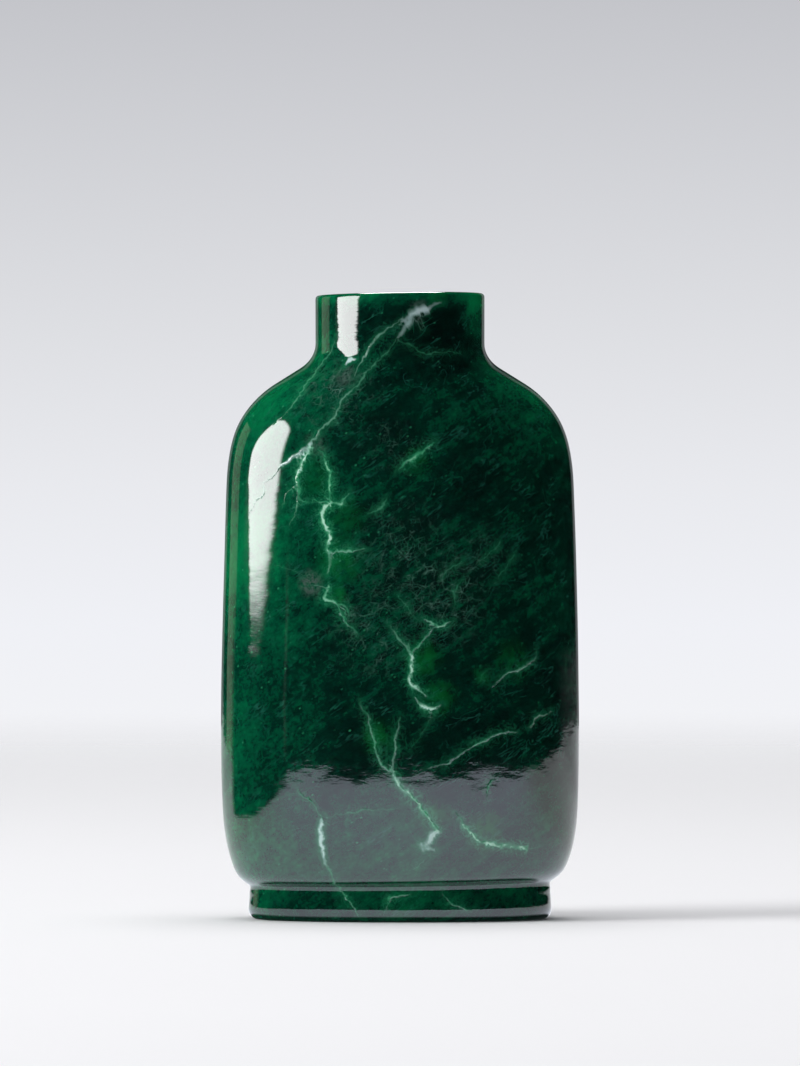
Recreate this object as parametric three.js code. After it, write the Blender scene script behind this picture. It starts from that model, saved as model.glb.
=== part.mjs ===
// A snuff bottle cut from one piece of stone: a flattened, round-shouldered body with a straight neck,
// a flat lip round a narrow mouth, and a low oval foot ring under a recessed base. It is hollowed out
// through the mouth.
//
// Millimetres, +Z up. The origin is the centre of the foot's underside, X runs across the broad face,
// and the broad faces look along -Y and +Y.
import * as THREE from "three";

// Driving dimensions.
const HEIGHT = 61;
const BODY_WIDTH = 35;
const BODY_DEPTH = 21;
const NECK_DIAMETER = 16.5;
const NECK_LENGTH = 4.8;
const MOUTH_DIAMETER = 8.6;
const FOOT_WIDTH = 29.6;
const FOOT_DEPTH = 16.4;
const FOOT_HEIGHT = 3.55;
const BELLY_HEIGHT = 17.4; // where the body is widest
const WALL = 2.9;
const FLOOR_THICKNESS = 6.2; // stone left under the hollow
const RECESS_DEPTH = 1.5; // of the base inside the foot ring

// How the sections are shaped and divided.
const SQUARENESS = 2.1; // superellipse exponent of a body section, where 2 is a plain ellipse
const SEGMENTS = 56;
const STEPS = 3; // points between two stations of an outline

const bodyHalf = BODY_WIDTH / 2;
const bodyDeep = BODY_DEPTH / 2;
const neck = NECK_DIAMETER / 2;
const mouth = MOUTH_DIAMETER / 2;
const footHalf = FOOT_WIDTH / 2;
const footDeep = FOOT_DEPTH / 2;

// A station is a level of the bottle: half its width and half its depth there, its height, how far the broad
// and the narrow outline lean from straight down at that level, in degrees and outwards positive, and the
// outline's points since the last station.
function station(width, depth, z, lean, depthLean, steps = STEPS) {
  return { width, depth, z, lean, depthLean, steps };
}

const neckRoot = HEIGHT - NECK_LENGTH;
const lipRound = 0.35;
const lip = [
  station(mouth + lipRound, mouth + lipRound, HEIGHT, 90, 90, 2),
  station(neck - lipRound, neck - lipRound, HEIGHT, 90, 90, 1),
  station(neck, neck, HEIGHT - lipRound, 0, 0, 2),
];

// The neck flows into sloping shoulders, which turn down into sides that widen a little towards the belly.
const body = [
  station(neck, neck, neckRoot, 0, 0, 1),
  station(neck + 1.5, neck + 0.35, neckRoot - 2.4, 58, 15),
  station(neck + 3.9, neck + 0.8, neckRoot - 3.9, 58, 16, 1),
  station(bodyHalf - 1.9, bodyDeep - 0.7, neckRoot - 7.5, 29, 9),
  station(bodyHalf - 0.75, bodyDeep - 0.3, neckRoot - 11.4, 8, 3),
  station(bodyHalf - 0.5, bodyDeep - 0.2, neckRoot - 15.3, 2, 1, 2),
  station(bodyHalf, bodyDeep, BELLY_HEIGHT, 0, 0, 2),
  station(bodyHalf - 0.2, bodyDeep - 0.2, 10, -4, -4, 2),
  station(bodyHalf - 1, bodyDeep - 0.9, FOOT_HEIGHT + 2.2, -19, -19),
  station(bodyHalf - 1.9, bodyDeep - 1.6, FOOT_HEIGHT + 0.6, -48, -46, 2),
];

// The foot is waisted, flares a little and rests on a flat ring, inside which the base is recessed.
const footRound = 0.9;
const ringWidth = 1.6;
const ringInside = footRound + ringWidth;
const recessSlope = ringInside + 0.7;
const foot = [
  station(footHalf, footDeep, FOOT_HEIGHT, -60, -56, 2),
  station(footHalf - 0.1, footDeep - 0.1, FOOT_HEIGHT - 0.8, 0, 0, 2),
  station(footHalf, footDeep, footRound + 0.1, 0, 0, 2),
  station(footHalf - footRound, footDeep - footRound, 0, -90, -90, 4),
  station(footHalf - ringInside, footDeep - ringInside, 0, -90, -90, 1),
  station(footHalf - recessSlope, footDeep - recessSlope, RECESS_DEPTH - 0.3, -120, -120, 2),
  station(0, 0, RECESS_DEPTH, -90, -90, 2),
];

// The hollow follows the outside a wall's thickness in, and is drawn from its floor up to the mouth.
const hollow = [
  station(0, 0, FLOOR_THICKNESS, 90, 90, 1),
  station(bodyHalf - WALL - 4.2, bodyDeep - WALL - 2, FLOOR_THICKNESS + 0.5, 105, 105, 2),
  station(bodyHalf - WALL - 0.6, bodyDeep - WALL - 0.3, FLOOR_THICKNESS + 5, 168, 172),
  station(bodyHalf - WALL - 0.2, bodyDeep - WALL, BELLY_HEIGHT, 180, 180, 1),
  station(bodyHalf - WALL - 0.7, bodyDeep - WALL - 0.2, neckRoot - 14.2, 183, 182, 2),
  station(bodyHalf - WALL - 1.9, bodyDeep - WALL - 0.7, neckRoot - 9.5, 206, 193, 2),
  station(mouth + 3.8, mouth + 0.9, neckRoot - 4.9, 240, 213, 2),
  station(mouth, mouth, neckRoot - 2, 180, 180, 2),
  station(mouth, mouth, HEIGHT - lipRound, 180, 180, 1),
];

// A cubic through two levels of an outline that leaves each at its lean, with the handles of a round arc.
function bend(from, to, leanFrom, leanTo) {
  const heading = (lean) => new THREE.Vector2(Math.sin(lean), -Math.cos(lean));
  const turn = leanTo - leanFrom;
  const handle = from.distanceTo(to) / (3 * Math.cos(turn / 4) ** 2);
  return new THREE.CubicBezierCurve(
    from,
    from.clone().addScaledVector(heading(leanFrom), handle),
    to.clone().addScaledVector(heading(leanTo), -handle),
    to,
  );
}

// The points of the broad outline and of the narrow one, step by step through the stations.
function outlines(stations) {
  const rings = [];
  stations.forEach((to, i) => {
    const from = stations[Math.max(i - 1, 0)];
    const radians = THREE.MathUtils.degToRad;
    const broad = bend(
      new THREE.Vector2(from.width, from.z),
      new THREE.Vector2(to.width, to.z),
      radians(from.lean),
      radians(to.lean),
    );
    const narrow = bend(
      new THREE.Vector2(from.depth, from.z),
      new THREE.Vector2(to.depth, to.z),
      radians(from.depthLean),
      radians(to.depthLean),
    );
    for (let step = 1; step <= to.steps; step++) {
      const b = broad.getPoint(step / to.steps);
      const n = narrow.getPoint(step / to.steps);
      rings.push({ width: b.x, depth: n.x, z: b.y, sideZ: n.y });
    }
  });
  return rings;
}

// A lathe turns the broad outline, and each of its points then moves in to its level's flattened section.
// The neck and the mouth stay round, and the section grows squarer as the body broadens.
function carve(rings) {
  const profile = rings.map((ring) => new THREE.Vector2(ring.width, ring.z));
  const solid = new THREE.LatheGeometry(profile, SEGMENTS);
  const place = solid.getAttribute("position");
  const power = (value, exponent) => Math.sign(value) * Math.abs(value) ** exponent;
  for (let i = 0; i < place.count; i++) {
    const ring = rings[i % rings.length];
    const angle = (2 * Math.PI * (Math.floor(i / rings.length) % SEGMENTS)) / SEGMENTS;
    const flatness = Math.min(1, (ring.width - ring.depth) / 4);
    const exponent = 2 / (2 + (SQUARENESS - 2) * flatness);
    const across = power(Math.cos(angle), exponent);
    const through = power(Math.sin(angle), exponent);
    const share = Math.sin(angle) ** 2;
    const z = ring.z * (1 - share) + ring.sideZ * share;
    place.setXYZ(i, ring.width * across, ring.depth * through, z);
  }
  return solid;
}

// The outline runs from the hollow's floor up the inside, over the lip and down the outside to the middle of
// the base. A lathe faces out when its outline rises on the outside, so the points go from the base up.
const jade = new THREE.MeshStandardMaterial({ color: 0x064a30, roughness: 0.12, metalness: 0 });
const rings = outlines([...hollow, ...lip, ...body, ...foot]).reverse();
const bottle = new THREE.Mesh(carve(rings), jade);
bottle.name = "bottle";

const snuffBottle = new THREE.Group();
snuffBottle.add(bottle);

export default snuffBottle;
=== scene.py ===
import math
from collections import namedtuple

import bpy
from bpy.props import FloatProperty, FloatVectorProperty, IntProperty, PointerProperty
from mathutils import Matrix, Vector
from mathutils.geometry import interpolate_bezier


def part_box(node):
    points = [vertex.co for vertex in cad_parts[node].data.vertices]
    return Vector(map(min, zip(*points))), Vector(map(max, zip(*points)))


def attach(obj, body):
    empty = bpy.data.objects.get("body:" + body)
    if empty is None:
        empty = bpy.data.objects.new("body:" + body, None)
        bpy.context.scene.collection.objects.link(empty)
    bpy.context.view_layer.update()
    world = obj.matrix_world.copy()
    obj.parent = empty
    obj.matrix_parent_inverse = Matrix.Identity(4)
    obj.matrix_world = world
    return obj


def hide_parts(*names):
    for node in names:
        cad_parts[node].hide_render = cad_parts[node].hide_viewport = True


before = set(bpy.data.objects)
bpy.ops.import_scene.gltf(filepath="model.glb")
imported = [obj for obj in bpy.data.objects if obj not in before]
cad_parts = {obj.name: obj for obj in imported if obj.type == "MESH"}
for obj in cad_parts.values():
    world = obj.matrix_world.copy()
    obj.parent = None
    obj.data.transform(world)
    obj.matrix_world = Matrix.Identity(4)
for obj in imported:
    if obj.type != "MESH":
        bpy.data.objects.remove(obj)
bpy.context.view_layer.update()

bl_info = {
    "name": "Jade Snuff Bottle",
    "version": (1, 0, 0),
    "blender": (4, 5, 0),
    "location": "3D View > Sidebar > Snuff Bottle",
    "description": "Carves a veined jade snuff bottle and sets a pale studio round it",
    "category": "Add Mesh",
}

MM = 0.001
LOW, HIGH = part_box("bottle")
BOTTLE = "bottle_jade"


# ---------------------------------------------------------------- node trees as Python expressions


class Link:
    """An output socket that takes part in arithmetic, adding Math nodes to its tree."""

    def __init__(self, graph, socket):
        self.graph = graph
        self.socket = socket

    def __getitem__(self, name):
        """Another output of the same node."""
        return Link(self.graph, self.socket.node.outputs[name])

    def _math(self, operation, *values):
        return self.graph.node("ShaderNodeMath", {"operation": operation}, dict(enumerate(values)))

    def __add__(self, other):
        return self._math("ADD", self, other)

    __radd__ = __add__

    def __sub__(self, other):
        return self._math("SUBTRACT", self, other)

    def __rsub__(self, other):
        return self._math("SUBTRACT", other, self)

    def __mul__(self, other):
        return self._math("MULTIPLY", self, other)

    __rmul__ = __mul__

    def __truediv__(self, other):
        return self._math("DIVIDE", self, other)

    def __rtruediv__(self, other):
        return self._math("DIVIDE", other, self)

    def __mod__(self, other):
        return self._math("MODULO", self, other)

    def __floordiv__(self, other):
        return self._math("FLOOR", self / other)

    def __abs__(self):
        return self._math("ABSOLUTE", self)

    def at_most(self, other):
        return self._math("MINIMUM", self, other)

    def at_least(self, other):
        return self._math("MAXIMUM", self, other)

    def smooth(self, start, end, low=0.0, high=1.0):
        """Eases from low at start to high at end."""
        return self.graph.node(
            "ShaderNodeMapRange",
            {"interpolation_type": "SMOOTHSTEP"},
            {"Value": self, "From Min": start, "From Max": end, "To Min": low, "To Max": high},
        )


class Graph:
    """Adds nodes to one tree."""

    def __init__(self, tree):
        self.tree = tree
        tree.nodes.clear()

    def node(self, kind, settings=None, inputs=None, output=0):
        """Adds a node, its settings first, then the values or links of its sockets, and gives an output."""
        node = self.tree.nodes.new(kind)
        for name, value in (settings or {}).items():
            if name == "stops":
                place_stops(node.color_ramp, value)
            else:
                setattr(node, name, value)
        for key, value in (inputs or {}).items():
            socket = open_socket(node.inputs, key)
            if isinstance(value, Link):
                self.tree.links.new(value.socket, socket)
            else:
                socket.default_value = value
        return Link(self, open_socket(node.outputs, output)) if node.outputs else None

    def vector(self, operation, *values):
        """A Vector Math node."""
        inputs = dict(enumerate(values))
        if operation == "SCALE":
            inputs = {0: values[0], "Scale": values[1]}
        output = "Value" if operation in ("DOT_PRODUCT", "DISTANCE", "LENGTH") else "Vector"
        return self.node("ShaderNodeVectorMath", {"operation": operation}, inputs, output)

    def parts(self, vector):
        """A vector's X, Y and Z, by those names."""
        return self.node("ShaderNodeSeparateXYZ", {}, {0: vector})

    def mix(self, amount, first, second):
        """Mixes two colours."""
        settings = {"data_type": "RGBA", "blend_type": "MIX", "clamp_factor": True}
        return self.node("ShaderNodeMix", settings, {0: amount, 6: first, 7: second}, 2)

    def noise(self, where, size, detail=2.0, roughness=0.5, warp=0.0):
        """Noise from 0 to 1 with lumps of the size given, in the units of where."""
        inputs = {"Vector": where, "Scale": 1 / size, "Detail": detail, "Roughness": roughness}
        return self.node("ShaderNodeTexNoise", {}, {**inputs, "Distortion": warp})

    def stray(self, where, size, detail, roughness=0.5, seed=None):
        """A noise vector with parts from -0.5 to 0.5, and with lumps of the size given."""
        inputs = {"Vector": where, "Scale": 1 / size, "Detail": detail, "Roughness": roughness}
        settings = {}
        if seed is not None:
            settings = {"noise_dimensions": "4D"}
            inputs["W"] = seed
        noise = self.node("ShaderNodeTexNoise", settings, inputs, "Color")
        return self.vector("SUBTRACT", noise, (0.5, 0.5, 0.5))

    def here(self):
        """Object coordinates."""
        return self.node("ShaderNodeTexCoord", {}, {}, "Object")


def open_socket(sockets, key):
    """The socket of that number, or the shown one of that name."""
    if isinstance(key, int):
        return sockets[key]
    return next(socket for socket in sockets if socket.name == key and socket.enabled)


def place_stops(ramp, stops):
    """Sets a colour ramp's stops from (position, colour) pairs."""
    while len(ramp.elements) < len(stops):
        ramp.elements.new(1.0)
    for element, (position, colour) in zip(ramp.elements, stops):
        element.position = position
        element.color = (*colour, 1.0)


def start_material(name):
    """A new material and the graph of its nodes."""
    material = bpy.data.materials.new(name)
    material.use_nodes = True
    return material, Graph(material.node_tree)


def end_material(material, g, surface):
    """Leads a shader to the material's output."""
    g.node("ShaderNodeOutputMaterial", {}, {"Surface": surface})
    return material


def start_tree(name, sockets):
    """A geometry tree with inputs of those names and kinds besides its mesh, its graph, and the inputs."""
    tree = bpy.data.node_groups.new(name, "GeometryNodeTree")
    tree.interface.new_socket(name="Geometry", in_out="INPUT", socket_type="NodeSocketGeometry")
    for label, kind in sockets.items():
        tree.interface.new_socket(name=label, in_out="INPUT", socket_type="NodeSocket" + kind)
    tree.interface.new_socket(name="Geometry", in_out="OUTPUT", socket_type="NodeSocketGeometry")
    graph = Graph(tree)
    return tree, graph, graph.node("NodeGroupInput")


def end_tree(tree, g, mesh, stone):
    """Leads a mesh to the tree's output as plain faces of that stone."""
    mesh = g.node("GeometryNodeRealizeInstances", {}, {"Geometry": mesh})
    mesh = g.node("GeometryNodeSetMaterial", {}, {"Geometry": mesh, "Material": stone})
    g.node("NodeGroupOutput", {}, {"Geometry": mesh})
    return tree


def grow(carrier, tree, values):
    """Runs a geometry tree on an object and leaves the result as its plain mesh."""
    modifier = carrier.modifiers.new(tree.name, "NODES")
    modifier.node_group = tree
    for item in tree.interface.items_tree:
        if item.in_out == "INPUT" and item.name in values:
            modifier[item.identifier] = values[item.name]
    evaluated = carrier.evaluated_get(bpy.context.evaluated_depsgraph_get())
    mesh = bpy.data.meshes.new_from_object(evaluated)
    carrier.modifiers.remove(modifier)
    carrier.data = mesh


def add_object(name, data):
    piece = bpy.data.objects.new(name, data)
    bpy.context.scene.collection.objects.link(piece)
    return piece


# ---------------------------------------------------------------- what a user would change


def length(name, description, default):
    """A property that holds a length."""
    return FloatProperty(name=name, description=description, default=default, unit="LENGTH")


def number(name, description, default, subtype="NONE"):
    """A property that holds a ratio, a brightness, an angle or a seed."""
    return FloatProperty(name=name, description=description, default=default, subtype=subtype)


def tint(name, description, *default):
    """A property that holds a colour."""
    return FloatVectorProperty(name=name, description=description, default=default, subtype="COLOR")


class SnuffBottleShape(bpy.types.PropertyGroup):
    """Sizes of the bottle."""

    height: length("Height", "Foot to lip", HIGH.z - LOW.z)
    width: length("Width", "Across the broad face", HIGH.x - LOW.x)
    depth: length("Depth", "Front to back", HIGH.y - LOW.y)
    neck: length("Neck", "Neck diameter", 16.5 * MM)
    neck_length: length("Neck Length", "Shoulder to lip", 4.8 * MM)
    mouth: length("Mouth", "Mouth diameter", 8.6 * MM)
    lip_round: length("Lip Rounding", "Radius of its edges", 0.35 * MM)
    foot_width: length("Foot Width", "Across the foot", 29.6 * MM)
    foot_depth: length("Foot Depth", "Front to back", 16.4 * MM)
    foot_height: length("Foot Height", "Up to the groove", 3.55 * MM)
    belly: length("Belly Height", "Where it is widest", 17.4 * MM)
    wall: length("Wall", "Thickness of the stone", 2.9 * MM)
    floor: length("Floor", "Stone under the hollow", 6.2 * MM)
    recess: length("Recess", "Depth of the base's recess", 1.5 * MM)
    fullness: number("Fullness", "Swell of a section past an ellipse", 0.033)
    around: IntProperty(name="Around", description="Faces round a section", default=300)
    pitch: length("Pitch", "Height of an outer face", 0.315 * MM)
    waver: length("Waver", "Unevenness of the hand cutting", 0.16 * MM)
    waver_size: length("Waver Size", "Length of its swells", 14 * MM)
    lip_lean: number("Lip Lean", "Slope of the lip", 0.015)
    groove_lean: number("Groove Lean", "Slope of the foot's groove", 0.012)
    seed: number("Seed", "Chooses the unevenness", 3.0)


class SnuffBottleJade(bpy.types.PropertyGroup):
    """Colours and finish of the stone."""

    night: tint("Night", "Darkest stone", 0.0003, 0.006, 0.0045)
    deep: tint("Deep", "Deep green", 0.0003, 0.019, 0.0108)
    mid: tint("Mid", "Middle green", 0.0004, 0.046, 0.0215)
    leaf: tint("Leaf", "Leaf green", 0.0006, 0.086, 0.034)
    vivid: tint("Vivid", "Brightest green", 0.001, 0.18, 0.058)
    emerald: tint("Emerald", "Glow by veins", 0.003, 0.16, 0.03)
    fringe: tint("Fringe", "Beside veins", 0.012, 0.2, 0.085)
    thread: tint("Thread", "Thin veins", 0.05, 0.38, 0.18)
    milk: tint("Milk", "Thick veins", 0.42, 0.76, 0.57)
    frost: tint("Frost", "Greyer veins", 0.48, 0.54, 0.62)
    wisp: tint("Wisp", "Pale wisps", 0.02, 0.13, 0.09)
    felt: tint("Felt", "Felted fibres", 0.075, 0.17, 0.13)
    smoke: tint("Smoke", "Grey clouds", 0.12, 0.13, 0.14)
    grain_tilt: number("Grain Tilt", "Rise of the grain", math.radians(34), "ANGLE")
    roughness: number("Roughness", "Of the polish", 0.045, "FACTOR")
    vein_step: length("Vein Step", "Spacing along a vein", 0.1 * MM)
    wander: length("Wander", "How far veins stray", 1.0 * MM)
    wander_size: length("Wander Size", "Length of a stray", 1.2 * MM)


class SnuffBottleStudio(bpy.types.PropertyGroup):
    """Camera and lights."""

    eye_height: length("Eye Height", "Of the level camera", 37.7 * MM)
    distance: length("Distance", "Camera to bottle", 0.76)
    frame_height: length("Frame", "Height taken in at the bottle", 104.2 * MM)
    softbox: number("Softbox", "Brightness of the softbox", 11.0)
    side: number("Side Lamp", "Power of the lamp on the left", 14.0)
    overhead: number("Overhead", "Power of the light above", 7.9)


# ---------------------------------------------------------------- the bottle's outline

Station = namedtuple("Station", "width depth z lean depth_lean")


def inner_stations(s):
    """Levels of the hollow, from its floor up to the mouth."""
    half, deep, bore = s.width / 2 - s.wall, s.depth / 2 - s.wall, s.mouth / 2
    root = s.height - s.neck_length
    return [
        Station(0, 0, s.floor, 90, 90),
        Station(half - 4.2 * MM, deep - 2 * MM, s.floor + 0.5 * MM, 105, 105),
        Station(half - 0.6 * MM, deep - 0.3 * MM, s.floor + 5 * MM, 168, 172),
        Station(half - 0.2 * MM, deep, s.belly, 180, 180),
        Station(half - 0.7 * MM, deep - 0.2 * MM, root - 14.2 * MM, 183, 182),
        Station(half - 1.9 * MM, deep - 0.7 * MM, root - 9.5 * MM, 206, 193),
        Station(bore + 3.8 * MM, bore + 0.9 * MM, root - 4.9 * MM, 240, 213),
        Station(bore, bore, root - 2 * MM, 180, 180),
        Station(bore, bore, s.height - s.lip_round, 180, 180),
    ]


def outer_stations(s):
    """Levels of the outside, from the mouth over the lip, down the body and foot and in under the base."""
    half, deep, neck, bore = s.width / 2, s.depth / 2, s.neck / 2, s.mouth / 2
    foot, foot_deep = s.foot_width / 2, s.foot_depth / 2
    root = s.height - s.neck_length
    lip, sole, ring = s.lip_round, 0.9 * MM, 2.5 * MM
    return [
        Station(bore, bore, s.height - lip, 180, 180),
        Station(bore + lip, bore + lip, s.height, 90, 90),
        Station(neck - lip, neck - lip, s.height, 90, 90),
        Station(neck, neck, s.height - lip, 0, 0),
        Station(neck, neck, root, 0, 0),
        Station(neck + 1.5 * MM, neck + 0.2 * MM, root - 2.4 * MM, 58, 11),
        Station(neck + 3.9 * MM, neck + 0.68 * MM, root - 3.9 * MM, 58, 18),
        Station(half - 1.9 * MM, deep - 0.7 * MM, root - 7.5 * MM, 29, 9),
        Station(half - 0.75 * MM, deep - 0.3 * MM, root - 11.4 * MM, 8, 3),
        Station(half - 0.5 * MM, deep - 0.2 * MM, root - 15.3 * MM, 2, 1),
        Station(half, deep, s.belly, 0, 0),
        Station(half - 0.2 * MM, deep - 0.2 * MM, 10 * MM, -4, -4),
        Station(half - 1 * MM, deep - 0.9 * MM, s.foot_height + 2.2 * MM, -19, -19),
        Station(half - 1.9 * MM, deep - 1.6 * MM, s.foot_height + 0.6 * MM, -48, -46),
        Station(foot, foot_deep, s.foot_height, -60, -56),
        Station(foot - 0.1 * MM, foot_deep - 0.1 * MM, s.foot_height - 0.8 * MM, 0, 0),
        Station(foot, foot_deep, sole + 0.1 * MM, 0, 0),
        Station(foot - sole, foot_deep - sole, 0, -90, -90),
        Station(foot - ring, foot_deep - ring, 0, -90, -90),
        Station(foot - ring - 0.7 * MM, foot_deep - ring - 0.7 * MM, s.recess - 0.3 * MM, -120, -120),
        Station(0, 0, s.recess, -90, -90),
    ]


def heading(lean):
    """The way an outline runs at a lean from straight down, outwards positive."""
    return Vector((math.sin(lean), 0, -math.cos(lean)))


def bend(start, end, lean, end_lean, steps):
    """Points of a cubic that leaves two levels at their leans, with the handles of a round arc."""
    handle = (end - start).length / (3 * math.cos((end_lean - lean) / 4) ** 2)
    first = start + handle * heading(lean)
    last = end - handle * heading(end_lean)
    return interpolate_bezier(start, first, last, end, steps + 1)[1:]


def outlines(stations, pitch):
    """The points of the broad outline and of the narrow one, in step with each other."""
    broad = [Vector((stations[0].width, 0, stations[0].z))]
    narrow = [Vector((stations[0].depth, 0, stations[0].z))]
    for a, b in zip(stations, stations[1:]):
        start, end = Vector((a.width, 0, a.z)), Vector((b.width, 0, b.z))
        start_deep, end_deep = Vector((a.depth, 0, a.z)), Vector((b.depth, 0, b.z))
        steps = max(4, math.ceil((end - start).length / pitch))
        leans = math.radians(a.lean), math.radians(b.lean)
        deep_leans = math.radians(a.depth_lean), math.radians(b.depth_lean)
        broad += bend(start, end, *leans, steps)
        narrow += bend(start_deep, end_deep, *deep_leans, steps)
    return broad, narrow


def draw_outlines(shape):
    """A curve object that holds the broad and the narrow outline, each in one spline."""
    hollow = outlines(inner_stations(shape), 5 * shape.pitch)
    outside = outlines(outer_stations(shape), shape.pitch)
    curve = bpy.data.curves.new("outlines", "CURVE")
    curve.dimensions = "3D"
    for inner, outer in zip(hollow, outside):
        points = inner + outer[1:]
        spline = curve.splines.new("POLY")
        spline.points.add(len(points) - 1)
        for knot, place in zip(spline.points, points):
            knot.co = (*place, 1)
    return add_object("outlines", curve)


def bottle_form_tree():
    """Sweeps a flattened section along the two outlines, and gives it the unevenness of hand cutting."""
    tree, g, given = start_tree("bottle form", {
        "Outlines": "Object",
        "Around": "Int",
        "Fullness": "Float",
        "Height": "Float",
        "Neck Length": "Float",
        "Foot Height": "Float",
        "Lip Lean": "Float",
        "Groove Lean": "Float",
        "Waver": "Float",
        "Waver Size": "Float",
        "Seed": "Float",
        "Jade": "Material",
    })
    info = g.node("GeometryNodeObjectInfo", {}, {"Object": given["Outlines"]}, "Geometry")
    points = g.node("GeometryNodeCurveToPoints", {"mode": "EVALUATED"}, {"Curve": info}, "Points")
    counted = {"component": "POINTCLOUD"}
    rings = g.node("GeometryNodeAttributeDomainSize", counted, {"Geometry": points}, "Point Count") / 2
    grid_sizes = {"Vertices X": given["Around"] + 1, "Vertices Y": rings}
    grid = g.node("GeometryNodeMeshGrid", {}, grid_sizes, "Mesh")
    place = g.node("GeometryNodeInputPosition")
    index = g.node("GeometryNodeInputIndex")
    ring = index % rings
    angle = (index // rings) / given["Around"] * (2 * math.pi)

    def outline_at(which):
        inputs = {"Geometry": points, "Value": place, "Index": which}
        return g.parts(g.node("GeometryNodeSampleIndex", {"data_type": "FLOAT_VECTOR"}, inputs, "Value"))

    broad, narrow = outline_at(ring), outline_at(ring + rings)
    cosine = g.node("ShaderNodeMath", {"operation": "COSINE"}, {0: angle})
    sine = g.node("ShaderNodeMath", {"operation": "SINE"}, {0: angle})
    across, through = cosine * cosine, sine * sine
    flatness = (broad["X"] - narrow["X"]).smooth(0.0, 5 * MM)
    swell = given["Fullness"] * flatness
    x = broad["X"] * cosine * (1 + swell * through)
    y = narrow["X"] * sine * (1 + swell * across)
    level = broad["Z"] * across + narrow["Z"] * through
    on_neck = level.smooth(given["Height"] - given["Neck Length"], given["Height"])
    foot = given["Foot Height"]
    by_groove = level.smooth(0.0, foot) * level.smooth(foot, foot + 4 * MM, 1.0, 0.0)
    z = level + x * (on_neck * given["Lip Lean"] + by_groove * given["Groove Lean"])
    swept = g.node("ShaderNodeCombineXYZ", {}, {0: x, 1: y, 2: z})
    body = g.node("GeometryNodeSetPosition", {}, {"Geometry": grid, "Position": swept})

    swells = g.stray(place, given["Waver Size"], 1.0, seed=given["Seed"])
    above_sole = g.parts(place)["Z"].smooth(0.0, 3 * MM)
    offset = g.vector("SCALE", swells, given["Waver"] * above_sole)
    body = g.node("GeometryNodeSetPosition", {}, {"Geometry": body, "Offset": offset})

    body = g.node("GeometryNodeMergeByDistance", {}, {"Geometry": body, "Distance": 0.001 * MM})
    body = g.node("GeometryNodeSetShadeSmooth", {}, {0: body, "Shade Smooth": True})
    return end_tree(tree, g, body, given["Jade"])


# ---------------------------------------------------------------- the veins

Vein = namedtuple("Vein", "width light grey route")

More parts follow.
